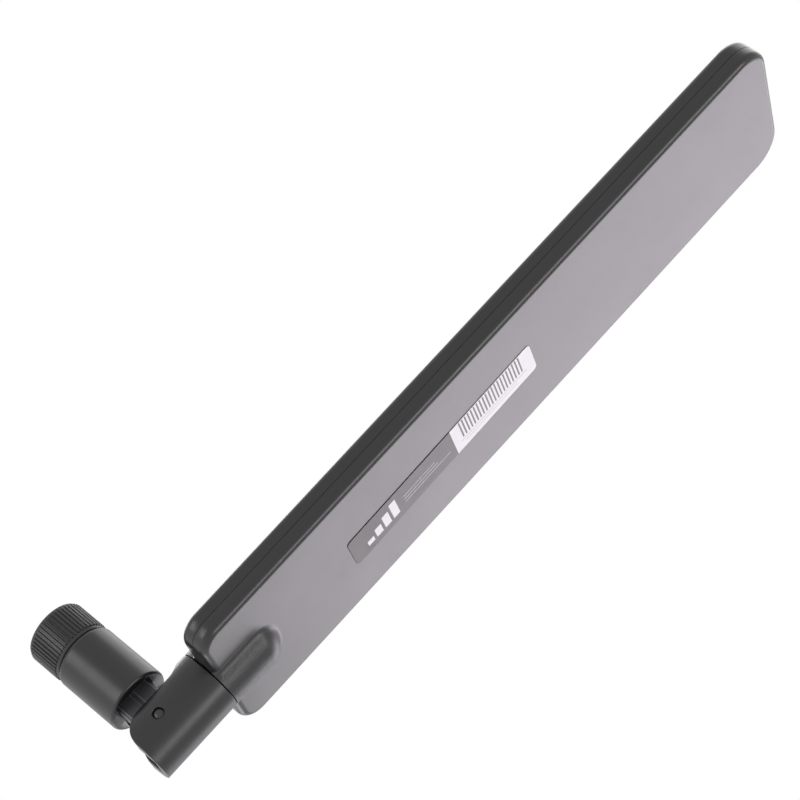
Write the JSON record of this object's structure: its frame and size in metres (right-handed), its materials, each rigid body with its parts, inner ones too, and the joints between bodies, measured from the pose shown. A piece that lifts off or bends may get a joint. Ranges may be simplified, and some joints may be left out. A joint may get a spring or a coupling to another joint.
{
  "type": "hinged wifi antenna",
  "caption": "Flat paddle antenna on a tilting, swivelling round base with a knurled coaxial coupling nut.",
  "frame": {"origin": "middle of the coupling nut's open mouth, on the plug's axis", "axes": "+Y along the plug, out of the nut's mouth towards the socket it screws on; +Z along the paddle in the stored pose, at a right angle to the plug; +X along the tilt hinge; the labelled front of the paddle looks to -Y"},
  "size_m": [0.036, 0.0373, 0.1755],
  "materials": {
    "paddle_black": "satin, faint moulded grain",
    "barrel_black": "satin",
    "grip_black": "satin",
    "pin_black": "satin",
    "bush_black": "matt",
    "o_ring_rubber": "matt",
    "cable_jacket": "smooth",
    "label_film": "satin printed film",
    "gold_plate": "gold plated",
    "nickel_plate": "nickel plated",
    "spring_steel": "bright",
    "insulator_white": "waxy",
    "tinned_copper": "tinned",
    "copper": "etched copper foil",
    "solder": "bright solder",
    "board_green": "solder mask over glass fibre laminate"
  },
  "bodies": {
    "plug": {"connector_body": "gold_plate", "insulator": "insulator_white", "centre_contact": "gold_plate", "crimp_ferrule": "nickel_plate"},
    "nut": {"coupling_nut": "gold_plate", "nut_grip": "grip_black", "snap_ring": "spring_steel"},
    "base": {"base_sleeve": "barrel_black", "retaining_bush": "bush_black", "swivel_o_ring": "o_ring_rubber", "coax_cable": "cable_jacket"},
    "paddle": {"yoke": "barrel_black", "hinge_pin_left": "pin_black", "hinge_pin_right": "pin_black", "front_cover": "paddle_black", "rear_cover": "paddle_black", "radiator_board": "board_green", "upper_radiator": "copper", "lower_radiator": "copper", "shield_solder": "solder", "core_solder": "solder", "coax_core": "tinned_copper", "label": "label_film"}
  },
  "joints": [
    {"name": "nut_spin", "type": "hinge", "parent": "plug", "child": "nut", "pos_m": [0, 0, 0], "axis": [0, 1, 0], "continuous": true},
    {"name": "base_swivel", "type": "hinge", "parent": "plug", "child": "base", "pos_m": [0, 0, 0], "axis": [0, 1, 0], "range_deg": [-180, 180]},
    {"name": "tilt", "type": "hinge", "parent": "base", "child": "paddle", "pos_m": [0, -0.0308, 0], "axis": [1, 0, 0], "range_deg": [0, 90], "deforming": ["coax_cable"]}
  ]
}
